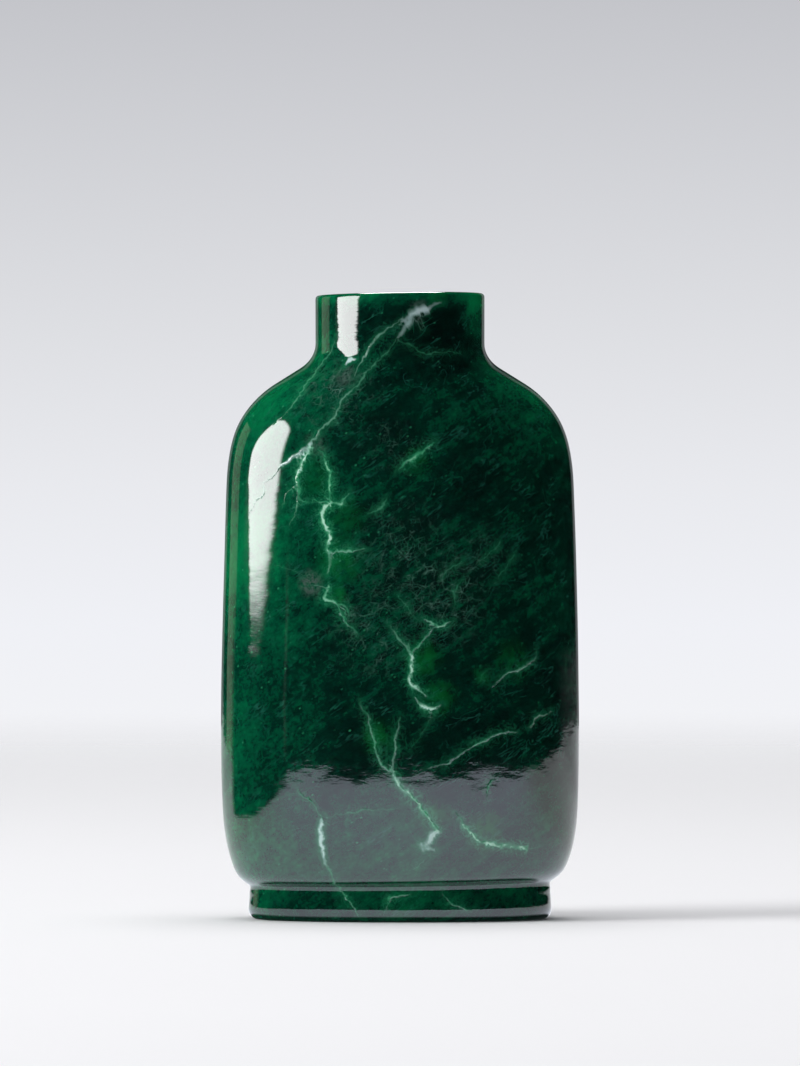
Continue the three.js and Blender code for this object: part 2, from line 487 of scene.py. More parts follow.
# Each vein has its half width in millimetres, its brightness, how grey it is, and the places that it passes,
# across and up, in millimetres from the middle of the foot.
FRONT_VEINS_AND_HIGHLIGHT = [
    Vein(0.07, 0.40, 0.2, [(-6.3, 56.1), (-7.4, 54.4), (-9.9, 50.7), (-12.0, 48.3)]),
    Vein(0.10, 0.45, 0.5, [(0.0, 58.4), (-2.0, 56.9), (-3.3, 55.2), (-4.3, 53.1)]),
    Vein(0.07, 0.30, 0.2, [(-0.3, 56.4), (-2.6, 53.7), (-4.6, 51.6)]),
    Vein(0.09, 0.45, 0.4, [(-4.6, 51.6), (-5.7, 50.6), (-6.8, 48.3), (-8.7, 46.3)]),
    Vein(0.18, 0.75, 0.8, [(-8.7, 46.3), (-9.9, 45.3), (-11.6, 44.2)]),
    Vein(0.08, 0.25, 0.5, [(-11.6, 44.2), (-13.0, 42.5), (-13.2, 41.4), (-14.0, 40.7), (-14.8, 38.8)]),
    Vein(0.20, 0.85, 0.2, [(-8.7, 46.3), (-9.5, 44.5), (-9.7, 43.3)]),
    Vein(0.14, 0.70, 0.0, [(-9.7, 43.3), (-10.0, 42.3), (-9.7, 41.4)]),
    Vein(0.08, 0.50, 0.0, [(-9.7, 41.4), (-9.4, 40.7), (-8.5, 40.7)]),
    Vein(0.08, 0.40, 0.2, [(-10.0, 42.3), (-9.8, 40.2), (-10.6, 38.7)]),
    Vein(0.05, 0.30, 0.2, [(-10.0, 42.3), (-11.2, 41.4), (-11.4, 40.2)]),
    Vein(0.12, 0.75, 0.0, [(-7.7, 45.5), (-7.2, 44.6), (-6.8, 43.1), (-6.7, 41.4), (-6.9, 40.5)]),
    Vein(0.20, 0.95, 0.1, [
        (-6.9, 40.5), (-7.6, 39.6), (-7.1, 38.5), (-6.8, 37.1), (-7.2, 36.4), (-6.5, 35.7),
    ]),
    Vein(0.16, 0.75, 0.3, [(-6.5, 35.7), (-6.9, 34.0)]),
    Vein(0.06, 0.35, 0.3, [(-8.6, 32.6), (-7.1, 32.4)]),
    Vein(0.13, 0.70, 0.1, [(-7.1, 32.4), (-7.4, 31.5), (-7.1, 30.9), (-6.1, 30.9)]),
    Vein(0.09, 0.50, 0.0, [(-6.1, 30.9), (-5.2, 29.1), (-4.4, 28.2)]),
    Vein(0.07, 0.45, 0.0, [(-6.1, 30.9), (-5.3, 30.6), (-5.1, 29.9)]),
    Vein(0.11, 0.60, 0.0, [(-8.1, 41.0), (-6.9, 40.5)]),
    Vein(0.14, 0.75, 0.1, [(-6.9, 40.5), (-5.8, 40.7), (-5.0, 41.3)]),
    Vein(0.10, 0.60, 0.1, [(-6.5, 35.7), (-6.1, 36.0), (-4.9, 36.0), (-3.6, 36.1)]),
    Vein(0.16, 0.70, 0.0, [(3.1, 46.3), (2.2, 45.8), (1.1, 44.8), (-0.1, 43.9)]),
    Vein(0.13, 0.50, 0.1, [(-2.9, 39.6), (-1.9, 40.3), (-1.4, 40.9)]),
    Vein(0.11, 0.40, 0.1, [(-0.1, 31.5), (1.3, 29.7)]),
    Vein(0.16, 0.85, 0.1, [(4.7, 29.1), (3.7, 28.7), (2.4, 29.3)]),
    Vein(0.08, 0.50, 0.1, [(3.4, 28.7), (2.8, 28.2), (2.3, 27.3), (1.1, 26.0)]),
    Vein(0.10, 0.50, 0.2, [(-0.8, 28.7), (-0.1, 27.4), (0.6, 26.9), (1.1, 26.0)]),
    Vein(0.22, 0.95, 0.2, [(1.1, 26.0), (1.1, 24.6), (0.8, 23.7), (1.4, 22.9), (2.4, 22.2)]),
    Vein(0.22, 1.00, 0.2, [(3.6, 20.9), (3.0, 20.5), (2.3, 20.9), (1.5, 21.7)]),
    Vein(0.10, 0.45, 0.2, [(9.0, 23.1), (10.2, 24.0), (11.4, 24.3), (12.6, 25.1), (13.3, 26.1)]),
    Vein(0.10, 0.40, 0.0, [(7.8, 23.7), (8.3, 24.4)]),
    Vein(0.07, 0.45, 0.1, [(14.6, 20.3), (13.3, 19.9), (12.6, 19.1)]),
    Vein(0.10, 0.55, 0.1, [(11.1, 18.5), (9.1, 18.3), (7.8, 17.5), (6.9, 17.2)]),
    Vein(0.05, 0.30, 0.2, [(6.9, 17.2), (4.9, 15.7), (2.6, 15.0)]),
    Vein(0.08, 0.45, 0.0, [(-3.9, 21.4), (-2.9, 19.3), (-2.3, 16.9), (-1.8, 15.2), (-0.7, 14.7)]),
    Vein(0.08, 0.45, 0.2, [(-0.1, 19.7), (-0.5, 17.4), (-0.7, 14.7)]),
    Vein(0.07, 0.35, 0.0, [(3.1, 19.8), (1.3, 17.2)]),
    Vein(0.20, 0.95, 0.3, [(-0.7, 14.7), (-0.1, 13.5), (1.0, 12.4)]),
    Vein(0.17, 0.80, 0.0, [(1.0, 12.4), (1.7, 11.6), (3.1, 9.9), (3.7, 9.2)]),
    Vein(0.32, 1.10, 0.6, [(3.7, 9.2), (2.9, 8.3), (2.2, 7.5), (3.0, 7.1)]),
    Vein(0.08, 0.50, 0.1, [(2.2, 6.0), (1.5, 5.3)]),
    Vein(0.20, 1.00, 0.0, [(12.2, 7.1), (10.0, 7.5), (7.9, 7.9), (6.9, 8.7), (6.3, 9.5), (5.6, 10.4)]),
    Vein(0.05, 0.20, 0.0, [(12.2, 7.1), (14.9, 7.6)]),
    Vein(0.12, 0.55, 0.0, [(9.1, 13.7), (8.5, 13.1), (8.3, 12.3)]),
    Vein(0.08, 0.35, 0.0, [(-9.8, 12.6), (-8.6, 11.8), (-7.6, 10.1)]),
    Vein(0.27, 1.15, 0.7, [(-7.6, 10.4), (-7.8, 9.2), (-7.6, 7.9)]),
    Vein(0.17, 1.10, 0.7, [(-7.6, 7.9), (-7.3, 6.2), (-7.2, 5.6)]),
    Vein(0.10, 0.40, 0.0, [(-7.2, 5.6), (-6.1, 3.6), (-5.2, 2.2), (-3.9, 0.8)]),
    Vein(0.06, 0.25, 0.0, [(-6.8, 10.2), (-3.5, 10.9), (-0.3, 11.1)]),
    Vein(0.09, 0.45, 0.0, [(4.2, 2.9), (5.2, 1.7), (7.1, 1.2)]),
    Vein(0.10, 0.50, 0.0, [(-1.5, 1.0), (-0.8, 2.4), (0.9, 2.9)]),
    Vein(0.07, 0.55, 0.1, [(5.6, 34.8), (4.1, 33.6)]),
    Vein(0.12, 0.45, 0.0, [(5.7, 32.9), (5.2, 32.1), (5.3, 31.2)]),
    Vein(0.05, 0.45, 0.1, [(11.0, 35.4), (9.7, 33.6)]),
    Vein(0.05, 0.50, 0.1, [(9.7, 36.7), (8.3, 35.4)]),
    Vein(0.06, 0.25, 0.1, [(-0.3, 56.3), (1.5, 55.5), (2.9, 55.0), (5.5, 55.2)]),
    Vein(0.30, 0.65, 1.0, [(0.1, 58.2), (0.9, 58.7)]),
    Vein(0.50, 0.88, 1.0, [(0.9, 58.7), (1.8, 59.1), (2.6, 59.4)]),
    Vein(0.26, 0.70, 1.0, [(2.6, 59.4), (3.7, 60.0)]),
    # This bright fleck under the neck is no vein but a painted highlight, laid in the way veins are.
    Vein(0.36, 1.60, 0.9, [(-5.2, 54.25), (-4.85, 54.3), (-4.5, 54.4)]),
    Vein(0.34, 0.62, 0.9, [(1.3, 58.8), (0.9, 58.2), (0.5, 57.6)]),
    Vein(0.20, 0.40, 0.9, [(0.5, 57.6), (0.3, 57.0), (-0.5, 56.2)]),
    Vein(0.05, 0.35, 0.7, [(1.6, 58.4), (1.9, 57.6)]),
    Vein(0.05, 0.35, 0.7, [(2.2, 58.6), (2.3, 57.7)]),
    Vein(0.05, 0.25, 0.2, [(-12.1, 34.4), (-8.7, 33.5)]),
]

# The back is quieter, with fewer veins.
BACK_VEINS = [
    Vein(0.12, 0.55, 0.3, [(6.5, 55.5), (4.0, 52.0), (1.5, 48.8), (-0.5, 44.6)]),
    Vein(0.16, 0.75, 0.1, [(-0.5, 44.6), (-1.2, 41.0), (-3.4, 38.2), (-3.1, 35.0)]),
    Vein(0.09, 0.50, 0.0, [(-3.1, 35.0), (-5.0, 31.2), (-5.2, 28.6)]),
    Vein(0.07, 0.40, 0.0, [(-0.5, 44.6), (3.2, 43.0), (5.4, 43.6)]),
    Vein(0.14, 0.65, 0.2, [(9.8, 27.6), (8.2, 25.0), (8.6, 22.2), (6.4, 19.4)]),
    Vein(0.07, 0.40, 0.0, [(6.4, 19.4), (4.4, 18.2), (1.2, 17.9)]),
    Vein(0.10, 0.50, 0.1, [(-11.6, 20.8), (-9.2, 19.0), (-8.4, 15.2), (-6.2, 12.6), (-5.6, 8.0)]),
    Vein(0.07, 0.35, 0.0, [(-5.6, 8.0), (-3.0, 5.4), (-2.4, 1.4)]),
    Vein(0.06, 0.35, 0.1, [(12.6, 44.2), (10.8, 40.8), (11.2, 37.2)]),
]


def taper(place, veins):
    """Thins the end of a vein unless another joins it there."""
    ends = sum(place in (vein.route[0], vein.route[-1]) for vein in veins)
    inside = any(place in vein.route[1:-1] for vein in veins)
    return 0.3 if ends == 1 and not inside else 1.0


def draw_routes(shape):
    """A mesh of loose edges along the veins, set out before and behind the bottle, with each vein's look."""
    routes = bpy.data.meshes.new("vein_routes")
    places, edges, looks = [], [], []
    for side, veins in ((-1, FRONT_VEINS_AND_HIGHLIGHT), (1, BACK_VEINS)):
        for vein in veins:
            first = len(places)
            for step, (across, up) in enumerate(vein.route):
                places.append((across * MM, side * shape.depth, up * MM))
                fade = taper((across, up), veins)
                looks.append((vein.width * fade, vein.light * fade ** 0.5, vein.grey))
                if step:
                    edges.append((first + step - 1, first + step))
    routes.from_pydata(places, edges, [])
    look = routes.attributes.new("look", "FLOAT_VECTOR", "POINT")
    look.data.foreach_set("vector", [value for entry in looks for value in entry])
    return add_object("vein_routes", routes)


def vein_field_tree():
    """Casts the veins onto the bottle. At each of its points it stores how far off the nearest vein is and on
    which side, in millimetres, and what that vein looks like."""
    tree, g, given = start_tree("vein field", {
        "Routes": "Object",
        "Step": "Float",
        "Wander": "Float",
        "Wander Size": "Float",
        "Jade": "Material",
    })
    bottle = given["Geometry"]
    place = g.node("GeometryNodeInputPosition")
    info = g.node("GeometryNodeObjectInfo", {}, {"Object": given["Routes"]}, "Geometry")
    curves = g.node("GeometryNodeMeshToCurve", {}, {"Mesh": info})
    fine = g.node("GeometryNodeResampleCurve", {"mode": "LENGTH"}, {"Curve": curves, "Length": given["Step"]})
    stray = g.vector("SCALE", g.stray(place, given["Wander Size"], 3.0, 0.6), given["Wander"])
    crooked = g.node("GeometryNodeSetPosition", {}, {"Geometry": fine, "Offset": stray})
    sign = g.node("ShaderNodeMath", {"operation": "SIGN"}, {0: g.parts(place)["Y"]})
    inward = g.node("ShaderNodeCombineXYZ", {}, {1: 0 - sign})
    aim = {"Target Geometry": bottle, "Ray Direction": inward}
    cast = g.node("GeometryNodeRaycast", {}, aim, "Hit Position")
    laid = g.node("GeometryNodeSetPosition", {}, {"Geometry": crooked, "Position": cast})
    points = g.node("GeometryNodeCurveToPoints", {"mode": "EVALUATED"}, {"Curve": laid}, "Points")
    nearest = g.node("GeometryNodeSampleNearest", {}, {"Geometry": points})

    def at_nearest(value):
        inputs = {"Geometry": points, "Value": value, "Index": nearest}
        return g.node("GeometryNodeSampleIndex", {"data_type": "FLOAT_VECTOR"}, inputs, "Value")

    vectors = {"data_type": "FLOAT_VECTOR"}
    look = g.node("GeometryNodeInputNamedAttribute", vectors, {"Name": "look"}, "Attribute")
    apart = g.vector("SUBTRACT", place, at_nearest(place))
    rightward = g.vector("CROSS_PRODUCT", g.node("GeometryNodeInputNormal"), at_nearest(points["Tangent"]))
    side = g.vector("DOT_PRODUCT", apart, rightward) / MM
    near = g.vector("LENGTH", apart) / MM

    stored = bottle
    for name, kind, value in (
        ("vein_side", "FLOAT", side),
        ("vein_near", "FLOAT", near),
        ("vein_look", "FLOAT_VECTOR", at_nearest(look)),
    ):
        settings = {"data_type": kind, "domain": "POINT"}
        inputs = {"Geometry": stored, "Name": name, "Value": value}
        stored = g.node("GeometryNodeStoreNamedAttribute", settings, inputs)
    return end_tree(tree, g, stored, given["Jade"])


# ---------------------------------------------------------------- the stone

Zone = namedtuple("Zone", "across through up radius amount")

# Places in the stone, in millimetres, with the front at -Y. These are brighter or darker than the rest, and
# some of them add painted light.
TONES = [
    # The zones on the left, at -12 and -18 across, are partly the stone's own green and partly painted light,
    # brightening the side that the lights on the left fall on.
    Zone(-12, -3, 51, 12, 0.62),
    Zone(-12, -5, 35, 17, 0.38),
    Zone(-12, -5, 20, 14, 0.06),
    Zone(-18, 0, 35, 13, 0.55),
    Zone(-18, 0, 17, 11, 0.5),
    Zone(-3.6, -10, 39.5, 3, -0.3),
    Zone(3, -10, 33, 6, -0.12),
    Zone(-9.5, -9, 27, 5, -0.08),
    Zone(12, -2, 51.5, 9, 0.6),
    Zone(10, -7, 46, 5, 0.12),
    Zone(0, -7, 5, 12, 0.36),
    Zone(-13, -3, 6, 11, 0.4),
    Zone(13, -3, 7, 9, 0.26),
    Zone(3, -8, 57, 8, -0.36),
    # These two brighten the top of the neck with painted light, where light entering the lip glows.
    Zone(7.5, -3, 60.5, 5, 0.95),
    Zone(-8, -2, 58, 5, 0.35),
    Zone(-2, -9, 48, 6, -0.1),
    Zone(7, -9, 41, 6, -0.1),
    Zone(5, -9, 18, 8, -0.18),
    Zone(-4, -9, 17, 5, -0.2),
    Zone(12, -6, 23, 7, -0.15),
    Zone(0, 8, 40, 14, 0.14),
    Zone(9, 8, 14, 10, -0.1),
]

# Emerald light shows through the stone here.
GLOWS = [
    Zone(-5.6, -10, 39.2, 3.0, 0.35),
    Zone(-5.9, -10, 35, 3.0, 0.7),
    Zone(-6, -10, 31.6, 1.5, 0.9),
    Zone(2.2, -10, 25.6, 2.4, 0.8),
    Zone(3.6, -10, 22, 2.4, 0.7),
    Zone(11.2, -9, 25.3, 2.8, 0.5),
    Zone(7.8, -9.5, 24.0, 1.5, 0.5),
    Zone(-2.1, -10, 18, 2.4, 0.7),
    Zone(8.4, -9.5, 8.8, 2.8, 0.9),
    Zone(3.2, -10, 10.4, 2.4, 0.6),
    Zone(1.6, -10, 44.6, 2.0, 0.35),
    Zone(-8.4, -9.5, 43, 3.2, 0.35),
    # At the lip this glow is painted light, where light enters the lip's top.
    Zone(3.4, -7, 61, 1.6, 1.0),
    Zone(-6, 9, 30, 5, 0.4),
    Zone(8, 9, 23, 4, 0.4),
]

# Felted fibres lie here, and clouds of grey; the last cloud is a painted sheen under the neck.
FELTS = [
    Zone(0.4, -10, 35.5, 6.5, 0.9),
    Zone(-2.5, -10, 28, 5.5, 1.0),
    Zone(4.5, -10, 31, 5.5, 0.9),
    Zone(7.5, -9.5, 35, 4.5, 0.7),
    Zone(-6.4, -8.5, 51.5, 5.5, 1.0),
    Zone(-1, -9.5, 46, 4, 0.5),
    Zone(2, 9, 44, 7, 0.6),
]
CLOUDS_AND_SHEEN = [
    Zone(-8.7, -9.5, 32.8, 1.7, 0.9),
    Zone(-8.3, -9.5, 46.3, 1.7, 0.6),
    Zone(1.9, -8, 59.2, 1.3, 0.9),
    # A painted sheen: a grey cloud standing in for the faint reflection under the bright fleck below the
    # neck.
    Zone(-5.2, -7.5, 52.8, 1.8, 0.5),
]


def gather(g, place, zones):
    """Adds the zones up, each fading out from its middle."""
    total = 0.0
    for zone in zones:
        away = g.vector("DISTANCE", place, (zone.across, zone.through, zone.up))
        total = total + away.smooth(zone.radius, 0.0, 0.0, zone.amount)
    return total


def hairs(noise, thinness):
    """Thin crooked lines where a noise passes its middle."""
    return (1 - abs(noise * 2 - 1)).smooth(1 - thinness, 1.0)


def cobweb(g, where, size, thinness):
    """Thin threads between cells of the size given."""
    gaps = {"feature": "DISTANCE_TO_EDGE"}
    return g.node("ShaderNodeTexVoronoi", gaps, {"Vector": where, "Scale": 1 / size}).smooth(thinness, 0.0)


def stone_tone(g, mm, grain, drift):
    """How bright the green is: zones, some of them painted light, clouds, streaks along the grain, a fine
    mottle, and painted light towards the lip.
    """
    clouds = g.noise(mm, 7.0, 3.0, 0.5, 0.3) - 0.5
    streaks = g.noise(g.vector("MULTIPLY", grain, (0.16, 0.5, 1.0)), 1.2, 6.0, 0.6, 0.2) - 0.5
    mottle = g.noise(mm, 0.9, 6.0, 0.68) - 0.5
    flecks = g.noise(g.vector("MULTIPLY", grain, (0.45, 0.8, 1.0)), 0.4, 4.0, 0.6, 0.4) - 0.5
    grit = g.noise(mm, 0.22, 2.0, 0.6) - 0.5
    axes = g.parts(mm)
    rightward = axes["X"].smooth(-12, 8, 0.45, 1.0)
    tone = 0.27 + gather(g, drift, TONES) + 0.6 * clouds
    # Painted light: the green brightens towards the lip's top, where light entering the lip glows.
    tone = tone + axes["Z"].smooth(58.8, 61.0, 0.0, 0.6)
    tone = tone + rightward * streaks * 1.1 + mottle * 1.0 + flecks * 0.65 + grit * 0.4

    # Past these two, the tone goes on more slowly, so that neither end is flat.
    low, high, slowed = 0.1, 0.8, 0.35
    beyond = (tone - low).at_most(0.0) + (tone - high).at_least(0.0)
    return tone.at_least(low).at_most(high) + slowed * beyond


def add_glows_clouds_and_sheen(g, colour, jade, mm, wobble):
    """Emerald light beside the veins, and clouds of grey, one of them a painted sheen under the neck."""
    nudge = g.vector("ADD", mm, g.vector("SCALE", wobble, 2.0))
    glow = gather(g, nudge, GLOWS) * g.noise(mm, 0.8, 4.0, 0.6).smooth(0.25, 0.6)
    colour = g.mix(glow * 0.75, colour, (*jade.emerald, 1))
    cloud_and_sheen = gather(g, nudge, CLOUDS_AND_SHEEN) * g.noise(mm, 0.45, 5.0, 0.7).smooth(0.35, 0.6)
    return g.mix(cloud_and_sheen * 0.7, colour, (*jade.smoke, 1))


def add_fibres(g, colour, jade, mm, grain, wobble, drift):
    """Felted fibres in their zones, and long faint cracks along the grain."""
    fibres = hairs(g.noise(grain, 1.5, 6.0, 0.58, 1.4), 0.035)
    strung = g.vector("ADD", grain, g.vector("SCALE", wobble, 1.1))
    strung = g.vector("MULTIPLY", strung, (0.6, 0.8, 1.0))
    floss = cobweb(g, strung, 1.1, 0.05) + 0.7 * cobweb(g, strung, 0.55, 0.07)
    open_work = g.noise(mm, 1.0, 4.0, 0.65).smooth(0.4, 0.65, 0.05, 1.0)
    felt = gather(g, drift, FELTS) * open_work * (fibres * 0.7 + floss * 0.65)
    colour = g.mix(felt.at_most(1.0), colour, (*jade.felt, 1))
    cracks = hairs(g.noise(g.vector("MULTIPLY", grain, (0.55, 0.8, 1.0)), 4.5, 5.0, 0.5, 0.3), 0.012)
    return g.mix(cracks * g.noise(mm, 3.0).smooth(0.45, 0.6) * 0.3, colour, (*jade.wisp, 1))


def add_wisps_and_specks(g, colour, jade, mm, grain):
    """Wisps along the grain, here and there, and small pale specks, more of them on the left."""
    combed = g.vector("ADD", g.vector("MULTIPLY", grain, (0.14, 0.5, 1.0)), (31.0, 5.0, 2.0))
    wisps = hairs(g.noise(combed, 0.8, 4.0, 0.55, 0.1), 0.05)
    patchy = g.noise(mm, 2.4, 4.0).smooth(0.5, 0.68)
    colour = g.mix(wisps * patchy * 0.55, colour, (*jade.wisp, 1))
    cells = {"Vector": g.vector("MULTIPLY", grain, (0.7, 0.8, 1.0)), "Scale": 1 / 0.65}
    cell = g.node("ShaderNodeTexVoronoi", {"feature": "F1"}, cells, "Distance")
    chosen = g.parts(cell["Color"])["X"].smooth(0.45, 0.9)
    leftward = g.parts(mm)["X"].smooth(8.0, -8.0, 0.35, 1.0)
    specks = cell.smooth(0.2, 0.06) * chosen * g.noise(mm, 4.0).smooth(0.34, 0.5) * leftward
    return g.mix(specks * 0.45, colour, (*jade.thread, 1))


def add_veins(g, colour, jade, mm):
    """Lays in each vein's thin crooked core, green fringe and side hairs, the painted highlight under the
    neck among them, and also gives how far the polish sinks over the core."""
    side = g.node("ShaderNodeAttribute", {"attribute_name": "vein_side"}, {}, "Fac")
    near = g.node("ShaderNodeAttribute", {"attribute_name": "vein_near"}, {}, "Fac")
    look = g.parts(g.node("ShaderNodeAttribute", {"attribute_name": "vein_look"}, {}, "Vector"))
    width, light, grey = look["X"], look["Y"], look["Z"]
    jag = (g.noise(mm, 1.1, 2.0) - 0.5) * 0.4 + (g.noise(mm, 0.4, 3.0, 0.65) - 0.5) * 0.45
    off = abs(side + jag * width.smooth(0.15, 0.5, 1.0, 0.3) * (1 - grey * 0.5))
    along = (near - abs(side)).smooth(0.34, 0.14) * near.smooth(1.2, 0.8)
    swell = g.noise(mm, 0.8, 4.0, 0.7).smooth(0.32, 0.68, 0.3, 1.6)
    swell = swell + (1 - swell) * grey * 0.8
    core = off.smooth(width * swell * 1.3 + 0.03, width * swell * 0.1) * along
    flicker = g.noise(g.vector("ADD", mm, (3.0, 8.0, 1.0)), 1.3, 3.0, 0.6)
    strength = light * flicker.smooth(0.3, 0.6, 0.35, 1.0)
    fringe = off.smooth(width + 0.55, 0.0) * near.smooth(1.3, 0.4)
    barbs = hairs(g.noise(mm, 0.9, 5.0, 0.62, 1.2), 0.1) * near.smooth(1.3, 0.1) * (1 - grey)
    colour = g.mix(fringe * light * 0.5, colour, (*jade.fringe, 1))
    colour = g.mix((barbs * 0.55 * strength).at_most(1.0), colour, (*jade.thread, 1))
    pale = g.mix((core * strength).smooth(0.45, 1.0), (*jade.thread, 1), (*jade.milk, 1))
    pale = g.mix(grey * 0.7, pale, (*jade.frost, 1))
    colour = g.mix((core * strength * 1.2).at_most(1.0), colour, pale)
    return colour, off.smooth(0.13, 0.0) * along * light.smooth(0.1, 0.5) * 2.2


def polish(g, mm, sunk):
    """The normal of the polish, which keeps a fine ripple and a slow swell."""
    up = g.parts(mm)["Z"]
    calm = up.smooth(24, 31, 1.0, 0.4).at_least(up.smooth(50, 54))
    ripple = calm * g.noise(g.vector("MULTIPLY", mm, (0.5, 0.5, 1.4)), 0.9, 3.0, 0.6)
    ripple = ripple + up.smooth(24, 31, 8.0, 3.6) * (g.noise(mm, 5.0, 2.0) - 0.5)
    depth = {"Strength": 1.0, "Distance": 0.0055 * MM, "Height": ripple - sunk}
    return g.node("ShaderNodeBump", {}, depth, "Normal")


def jade_material(jade):
    """Green jade, clouded, fibrous and veined, under a high polish, with painted light in it: a highlight and
    a sheen under the neck, a glow at the lip and a brighter left side.
    """
    material, g = start_material("jade")
    mm = g.vector("SCALE", g.here(), 1 / MM)
    turn = {"Vector": mm, "Rotation": (0, jade.grain_tilt, 0)}
    grain = g.node("ShaderNodeMapping", {"vector_type": "POINT"}, turn)
    wobble = g.stray(mm, 2.2, 5.0, 0.6)
    drift = g.vector("ADD", mm, g.vector("SCALE", wobble, 4.0))
    greens = (jade.night, jade.deep, jade.mid, jade.leaf, jade.vivid)
    stops = [(step / 4, green) for step, green in enumerate(greens)]
    tone = stone_tone(g, mm, grain, drift)
    colour = g.node("ShaderNodeValToRGB", {"stops": stops}, {"Fac": tone}, "Color")
    colour = add_glows_clouds_and_sheen(g, colour, jade, mm, wobble)
    colour = add_fibres(g, colour, jade, mm, grain, wobble, drift)
    colour = add_wisps_and_specks(g, colour, jade, mm, grain)
    colour, sunk = add_veins(g, colour, jade, mm)
    skin = g.node("ShaderNodeBsdfPrincipled", {}, {
        "Base Color": colour,
        "Roughness": jade.roughness,
        "IOR": 1.66,
        "Normal": polish(g, mm, sunk),
        "Subsurface Weight": 0.15,
        "Subsurface Radius": (0.25, 1.0, 0.5),
        "Subsurface Scale": 0.6 * MM,
    })
    return end_material(material, g, skin)


# ---------------------------------------------------------------- the stage


# The edge of the lit part of the table, by azimuth in degrees to the left of the camera and distance.
TABLE = [
    (-150, 0.9), (-108, 0.8), (-98, 0.55), (-88, 0.4), (-76, 0.32), (-60, 0.26), (-20, 0.235), (0, 0.225),
    (20, 0.25), (38, 0.235), (48, 0.2), (62, 0.2), (90, 0.28), (104, 0.5), (150, 0.9),
]

# Half the width and depth of the foot, round which a shadow is painted into the table's reflection.
SOLE = Vector((14.8, 8.2)) * MM

# Upright cards that face the bottle.
Card = namedtuple("Card", "azimuth distance width low high")
SOFTBOX = Card(math.radians(76.5), 1.2, 1.0, 0.0, 0.82)
PANEL = Card(math.radians(123.5), 1.2, 0.46, -0.02, 0.5)
FLAG = Card(SOFTBOX.azimuth, 0.095, 0.15, 0.0, 0.05)

# The height of the card overhead, and its corners.
CEILING = 1.2
CEILING_CORNERS = [(-0.35, 0.55), (0.35, 0.55), (0.35, 1.05), (-0.35, 1.05)]

FLOOR_RADIUS = 1.2
FLOOR_SIDES = 64


def around(azimuth, distance, height):
    """A place by its azimuth in degrees."""
    turn = math.radians(azimuth)
    return (-math.sin(turn) * distance, -math.cos(turn) * distance, height)


def toward_camera(card):
    """The level direction along a card that nears the camera."""
    return Vector((math.cos(card.azimuth), -math.sin(card.azimuth), 0))


def flat_face(name, corners, material):
    """One flat face of the stage, which throws no shadow."""
    mesh = bpy.data.meshes.new(name)
    mesh.from_pydata(corners, [], [tuple(range(len(corners)))])
    mesh.materials.append(material)
    face = add_object(name, mesh)
    face.visible_shadow = False
    return face


def reflected_face(name, corners, material):
    """A flat face that only reflections show."""
    face = flat_face(name, corners, material)
    face.visible_camera = False
    face.visible_diffuse = False


def facing_card(name, card, material):
    """An upright card that only reflections show."""
    out = Vector((-math.sin(card.azimuth), -math.cos(card.azimuth), 0)) * card.distance
    along = toward_camera(card) * card.width / 2
    low, high = Vector((0, 0, card.low)), Vector((0, 0, card.high))
    corners = [out - along + low, out + along + low, out + along + high, out - along + high]
    reflected_face(name, corners, material)


def glow_material(name, colour, strength):
    """An even glow."""
    material, g = start_material(name)
    glow = g.node("ShaderNodeEmission", {}, {"Color": (*colour, 1), "Strength": strength})
    return end_material(material, g, glow)


def table_light():
    """The lit table as reflections see it, its light painted onto a glowing card: brighter in front, with a
    painted shadow by the foot.
    """
    material, g = start_material("lit_table")
    here = g.here()
    place = g.parts(here)
    back = place["Y"] + 0.6 * abs(place["X"])
    colour = g.mix(back.smooth(-0.04, 0.06), (1.5, 1.6, 1.9, 1), (1.1, 1.12, 1.16, 1))
    colour = g.mix(place["Y"].smooth(0.05, 0.25), colour, (0.7, 0.71, 0.74, 1))
    # A painted shadow darkens the table's reflection close round the foot.
    painted_shadow_reach = g.vector("LENGTH", g.vector("MULTIPLY", here, (1 / SOLE.x, 1 / SOLE.y, 0.0)))
    colour = g.mix(painted_shadow_reach.smooth(1.1, 1.02), colour, (0.03, 0.04, 0.04, 1))
    return end_material(material, g, g.node("ShaderNodeEmission", {}, {"Color": colour}))


def flag_material():
    """A low black flag that clears softly above and at its ends, and stands taller on the camera's side."""
    material, g = start_material("flag")
    here = g.here()
    up = g.parts(here)["Z"]
    across = g.vector("DOT_PRODUCT", here, toward_camera(FLAG))
    top = 31 * MM + across.smooth(0.0, 0.036, 0.0, 12 * MM)
    foot = across.smooth(-0.01, 0.06, 0.3 * MM, 7 * MM)
    near_end = (0.046 - across).smooth(-0.003, 0.001)
    far_end = across.smooth(-0.085, -0.055)
    solid = (top - up).smooth(-6 * MM, 6 * MM) * (up - foot).smooth(-1.2 * MM, 1.2 * MM) * near_end * far_end
    # Painted light: the flag's near end glows dimly, which reflections show as a thin pale line.
    glowing_edge = across.smooth(0.0425, 0.0445) * up.smooth(8 * MM, 16 * MM) * up.smooth(42 * MM, 30 * MM)
    black = g.node("ShaderNodeEmission", {}, {"Color": glowing_edge * 0.16})
    clear = g.node("ShaderNodeBsdfTransparent")
    return end_material(material, g, g.node("ShaderNodeMixShader", {}, {0: solid, 1: clear, 2: black}))


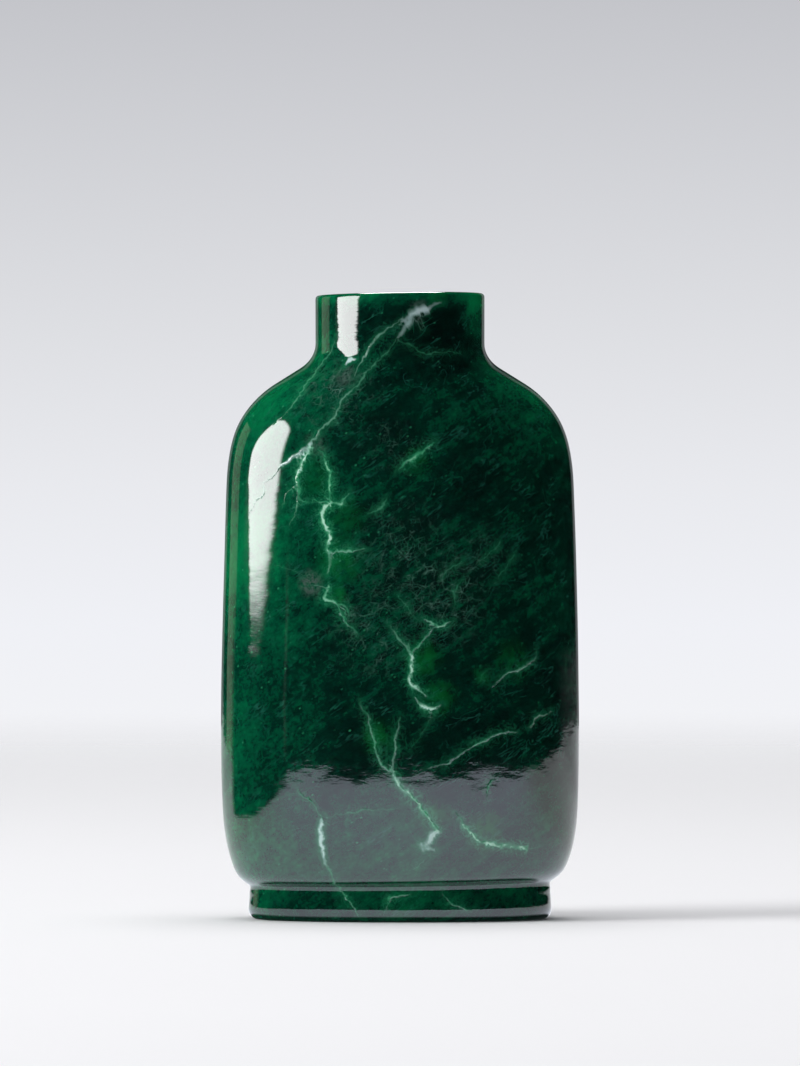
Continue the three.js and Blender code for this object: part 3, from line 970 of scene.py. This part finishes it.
def softbox_material(strength):
    """The face of a softbox: rounded above, with a dim rim on the camera's side."""
    material, g = start_material("softbox")
    here = g.here()
    up = g.parts(here)["Z"]
    across = g.vector("DOT_PRODUCT", here, toward_camera(SOFTBOX))
    near_edge = 0.378 + up.smooth(0.15, 0.45, 0.0, 0.03)
    near_edge = near_edge - up.smooth(0.5, 0.76, 0.0, 0.3) - up.smooth(0.12, 0.0, 0.0, 0.36)
    far_edge = up.smooth(0.25, 0.76, -0.4, -0.02) + up.smooth(0.12, 0.0, 0.0, 0.3)
    face = (near_edge - across).smooth(-0.045, 0.045) * (across - far_edge).smooth(-0.02, 0.03)
    rim = (near_edge + 0.07 - across).smooth(-0.01, 0.01) * up.smooth(0.06, 0.075) * up.smooth(0.2, 0.16)
    ends = up.smooth(0.03, 0.072) * up.smooth(0.72, 0.68)
    glow = (face.at_least(rim * 0.012) * ends) * strength
    return end_material(material, g, g.node("ShaderNodeEmission", {}, {"Color": glow}))


def pale_floor_material():
    """Matt white, which clears towards the rim."""
    material, g = start_material("floor")
    pale = g.node("ShaderNodeBsdfDiffuse", {}, {"Color": (0.86, 0.86, 0.875, 1)})
    clear = g.node("ShaderNodeBsdfTransparent")
    fade = g.vector("LENGTH", g.here()).smooth(0.12, 0.9)
    return end_material(material, g, g.node("ShaderNodeMixShader", {}, {0: fade, 1: pale, 2: clear}))


def build_world():
    """A pale sweep for the camera, little light of its own, and a paler band behind for reflections."""
    world = bpy.data.worlds.new("studio")
    world.use_nodes = True
    g = Graph(world.node_tree)
    direction = g.parts(g.node("ShaderNodeTexCoord", {}, {}, "Generated"))
    rise = direction["Z"]
    stops = [
        (0.0, (0.930, 0.930, 0.945)),
        (0.20, (0.900, 0.905, 0.925)),
        (0.37, (0.868, 0.878, 0.920)),
        (0.51, (0.812, 0.820, 0.855)),
        (0.66, (0.730, 0.738, 0.768)),
        (1.0, (0.545, 0.552, 0.584)),
    ]
    sweep = g.node("ShaderNodeValToRGB", {"stops": stops}, {"Fac": (rise + 0.06) / 0.13}, "Color")
    path = g.node("ShaderNodeLightPath")
    behind = direction["Y"].smooth(0.84, 0.92) * abs(direction["X"]).smooth(0.12, 0.3)
    beside = direction["X"].smooth(0.3, 0.5) * direction["Y"].smooth(0.04, 0.5) * rise.smooth(0.0, -0.02)
    mirror = (behind * 0.3).at_least(beside * 0.13)
    other = g.mix(path["Is Glossy Ray"], (0.16, 0.16, 0.17, 1), (0.004, 0.004, 0.005, 1))
    other = g.mix(mirror * path["Is Glossy Ray"], other, (0.9, 0.9, 0.95, 1))
    shown = g.mix(path["Is Camera Ray"], other, sweep)
    g.node("ShaderNodeOutputWorld", {}, {"Surface": g.node("ShaderNodeBackground", {}, {"Color": shown})})
    bpy.context.scene.world = world


def add_lamp(name, place, size, power):
    """A round lamp turned to the bottle, which reflections leave out."""
    light = bpy.data.lights.new(name, "AREA")
    light.shape = "DISK"
    light.size = size
    light.energy = power
    lamp = add_object(name, light)
    lamp.location = place
    lamp.rotation_euler = Vector(place).to_track_quat("Z", "Y").to_euler()
    lamp.visible_glossy = False
    lamp.visible_camera = False


def set_camera(studio):
    """The level camera that looks at the front."""
    camera = bpy.data.cameras.new("camera")
    camera.sensor_fit = "VERTICAL"
    camera.sensor_height = 24
    camera.lens = camera.sensor_height * studio.distance / studio.frame_height
    camera.clip_start = 0.01
    eye = add_object("camera", camera)
    eye.location = (0, -studio.distance, studio.eye_height)
    eye.rotation_euler = (math.radians(90), 0, 0)
    bpy.context.scene.camera = eye


# ---------------------------------------------------------------- operators and panel


class SNUFF_OT_carve_bottle(bpy.types.Operator):
    """Carve the bottle and lay the veins in its stone"""

    bl_idname = "snuff.carve_bottle"
    bl_label = "Carve Bottle"

    def execute(self, context):
        shape, jade = context.scene.snuff_shape, context.scene.snuff_jade
        stone = jade_material(jade)
        outline = draw_outlines(shape)
        routes = draw_routes(shape)
        bottle = add_object(BOTTLE, bpy.data.meshes.new(BOTTLE))
        grow(bottle, bottle_form_tree(), {
            "Outlines": outline,
            "Around": shape.around,
            "Fullness": shape.fullness,
            "Height": shape.height,
            "Neck Length": shape.neck_length,
            "Foot Height": shape.foot_height,
            "Lip Lean": shape.lip_lean,
            "Groove Lean": shape.groove_lean,
            "Waver": shape.waver,
            "Waver Size": shape.waver_size,
            "Seed": shape.seed,
            "Jade": stone,
        })
        grow(bottle, vein_field_tree(), {
            "Routes": routes,
            "Step": jade.vein_step,
            "Wander": jade.wander,
            "Wander Size": jade.wander_size,
            "Jade": stone,
        })
        for helper in (outline, routes):
            bpy.data.objects.remove(helper)
        if len(bottle.data.polygons) < shape.around:
            raise RuntimeError("the bottle's form came out empty")
        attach(bottle, "root")
        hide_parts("bottle")
        return {"FINISHED"}


class SNUFF_OT_set_stage(bpy.types.Operator):
    """Set the floor, the lights and the camera round the bottle"""

    bl_idname = "snuff.set_stage"
    bl_label = "Set Stage"

    def execute(self, context):
        studio = context.scene.snuff_studio
        context.scene.view_settings.view_transform = "Standard"
        build_world()
        set_camera(studio)
        turns = [math.tau * side / FLOOR_SIDES for side in range(FLOOR_SIDES)]
        rim = [(FLOOR_RADIUS * math.cos(turn), FLOOR_RADIUS * math.sin(turn), 0) for turn in turns]
        floor = flat_face("floor", rim, pale_floor_material())
        floor.visible_glossy = False
        lit = [around(azimuth, distance, -0.2 * MM) for azimuth, distance in TABLE]
        reflected_face("lit_table", lit, table_light())
        facing_card("softbox", SOFTBOX, softbox_material(studio.softbox))
        facing_card("side_panel", PANEL, glow_material("side_panel", (0.92, 1.0, 0.75), 0.46))
        ceiling = [(x, y, CEILING) for x, y in CEILING_CORNERS]
        reflected_face("top_light", ceiling, glow_material("top_light", (1.0, 1.0, 1.0), 28.0))
        facing_card("side_flag", FLAG, flag_material())
        add_lamp("overhead", (0, 0.1, 1.1), 0.9, studio.overhead)
        add_lamp("side_lamp", (-1.1, -0.4, 0.55), 0.7, studio.side)
        return {"FINISHED"}


class SNUFF_PT_panel(bpy.types.Panel):
    """Lists the steps that make the bottle and its stage"""

    bl_idname = "SNUFF_PT_panel"
    bl_label = "Jade Snuff Bottle"
    bl_space_type = "VIEW_3D"
    bl_region_type = "UI"
    bl_category = "Snuff Bottle"

    def draw(self, context):
        for group, operator in (
            ("snuff_shape", SNUFF_OT_carve_bottle),
            ("snuff_jade", None),
            ("snuff_studio", SNUFF_OT_set_stage),
        ):
            settings = getattr(context.scene, group)
            box = self.layout.box()
            for name in settings.__annotations__:
                box.prop(settings, name)
            if operator:
                box.operator(operator.bl_idname)


CLASSES = (
    SnuffBottleShape,
    SnuffBottleJade,
    SnuffBottleStudio,
    SNUFF_OT_carve_bottle,
    SNUFF_OT_set_stage,
    SNUFF_PT_panel,
)


def register():
    for cls in CLASSES:
        bpy.utils.register_class(cls)
    bpy.types.Scene.snuff_shape = PointerProperty(type=SnuffBottleShape)
    bpy.types.Scene.snuff_jade = PointerProperty(type=SnuffBottleJade)
    bpy.types.Scene.snuff_studio = PointerProperty(type=SnuffBottleStudio)


def unregister():
    del bpy.types.Scene.snuff_studio
    del bpy.types.Scene.snuff_jade
    del bpy.types.Scene.snuff_shape
    for cls in reversed(CLASSES):
        bpy.utils.unregister_class(cls)


def main():
    """Registers the add-on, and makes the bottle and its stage."""
    register()
    bpy.ops.snuff.set_stage()
    bpy.ops.snuff.carve_bottle()


if __name__ == "__main__":
    main()
